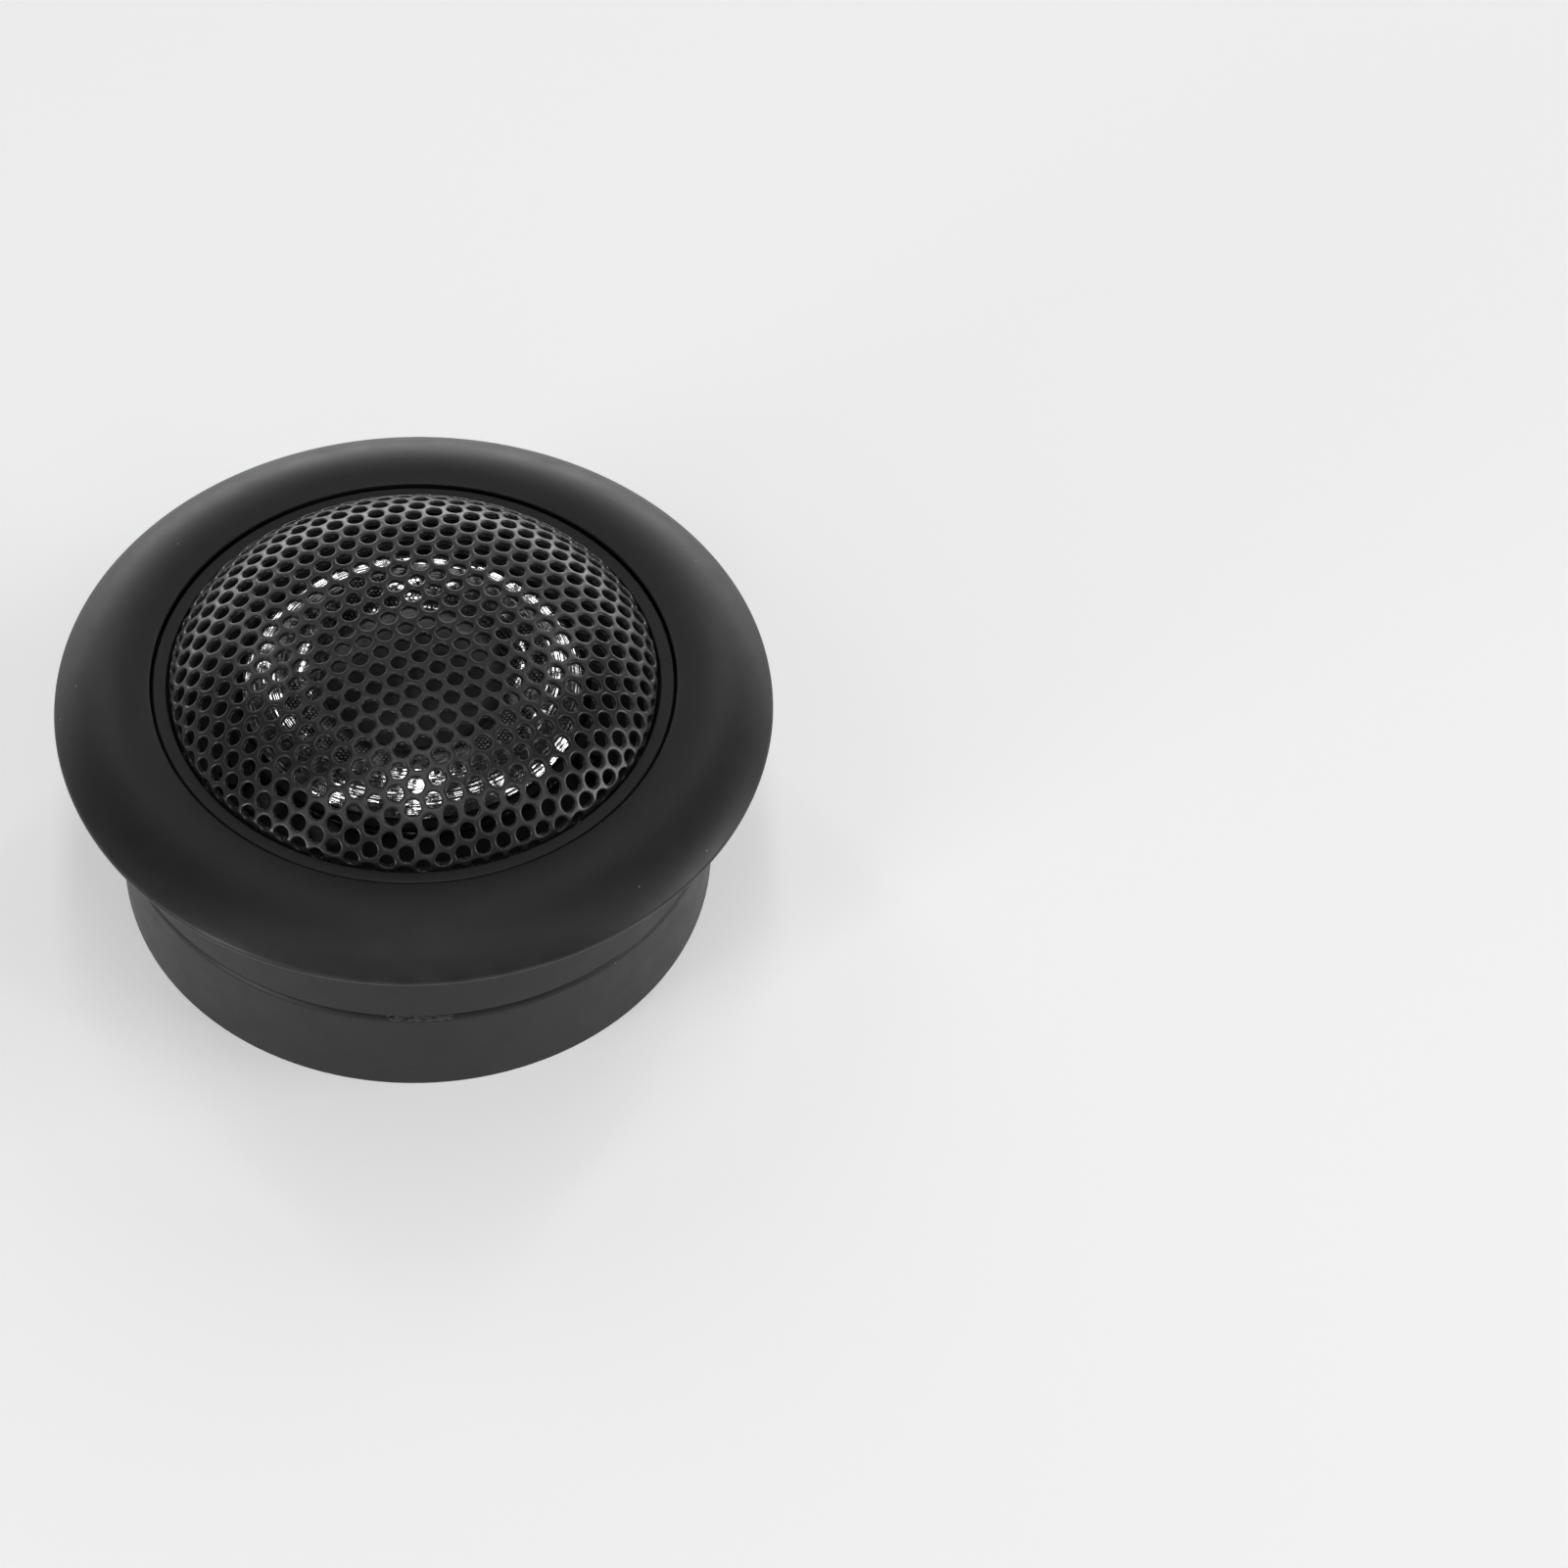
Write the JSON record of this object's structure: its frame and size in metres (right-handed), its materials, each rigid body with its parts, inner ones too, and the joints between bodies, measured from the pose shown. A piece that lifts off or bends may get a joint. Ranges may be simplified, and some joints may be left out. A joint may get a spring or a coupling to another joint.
{
  "type": "car tweeter",
  "caption": "Surface-mount dome tweeter: round base cup, lift-out head with rounded trim ring, and a pod with a domed perforated grille that turns and tilts.",
  "frame": {"origin": "centre of the base cup's underside, on the surface that it is fixed to", "axes": "+Z out through the dome; -Y towards the picture's camera; +X to its right"},
  "size_m": [0.055, 0.055, 0.0268],
  "materials": {
    "black_abs": "satin moulded, fine grain",
    "pod_abs": "satin moulded",
    "inner_abs": "matt moulded",
    "swivel_pom": "smooth",
    "grille_paint": "semi-gloss black powder coat",
    "film": "metallised polyester film",
    "dome_cloth": "coated silk",
    "former": "thin foil",
    "copper": "enamelled copper wire",
    "steel": "zinc plated",
    "black_steel": "black zinc plated",
    "magnet": "nickel plated",
    "felt": "felt",
    "foam": "open-cell foam",
    "pad": "foam tape",
    "rubber": "soft",
    "can": "blue sleeve",
    "board": "phenolic",
    "brass": "tinned",
    "wire": "insulation"
  },
  "bodies": {
    "base": {"base_cup": "black_abs", "adhesive_pad": "pad", "cable_grommet": "rubber"},
    "head": {"trim_ring": "black_abs", "clamp_ring": "inner_abs"},
    "swivel": {"swivel_ring": "swivel_pom"},
    "pod": {"pod_ring": "black_abs", "grille": "grille_paint", "pod_shell": "pod_abs", "trunnion_pins": "steel", "driver_basket": "inner_abs", "basket_screws": "black_steel", "diaphragm_ring": "inner_abs", "surround": "film", "damping_felt": "felt", "pole_plate": "steel", "magnet": "magnet", "yoke_cup": "steel", "damping_foam": "foam", "capacitor": "can", "capacitor_leads": "steel", "solder_lugs": "brass", "hookup_wire": "wire", "terminal_board": "board", "terminal_tabs": "brass", "terminal_rivets": "steel"},
    "coil": {"dome": "dome_cloth", "coil_former": "former", "voice_coil": "copper"}
  },
  "joints": [
    {"name": "head_lift", "type": "slide", "parent": "base", "child": "head", "axis": [0, 0, 1], "range_m": [0, 0.03]},
    {"name": "pod_turn", "type": "hinge", "parent": "head", "child": "swivel", "pos_m": [0, 0, 0.01445], "axis": [0, 0, 1], "range_deg": [-90, 90]},
    {"name": "pod_tilt", "type": "hinge", "parent": "swivel", "child": "pod", "pos_m": [0, 0, 0.01445], "axis": [1, 0, 0], "range_deg": [-12, 12]},
    {"name": "coil_travel", "type": "slide", "parent": "pod", "child": "coil", "axis": [0, 0, 1], "range_m": [-0.00025, 0.00025], "stiffness_N_per_m": 300, "deforming": ["surround"]}
  ]
}
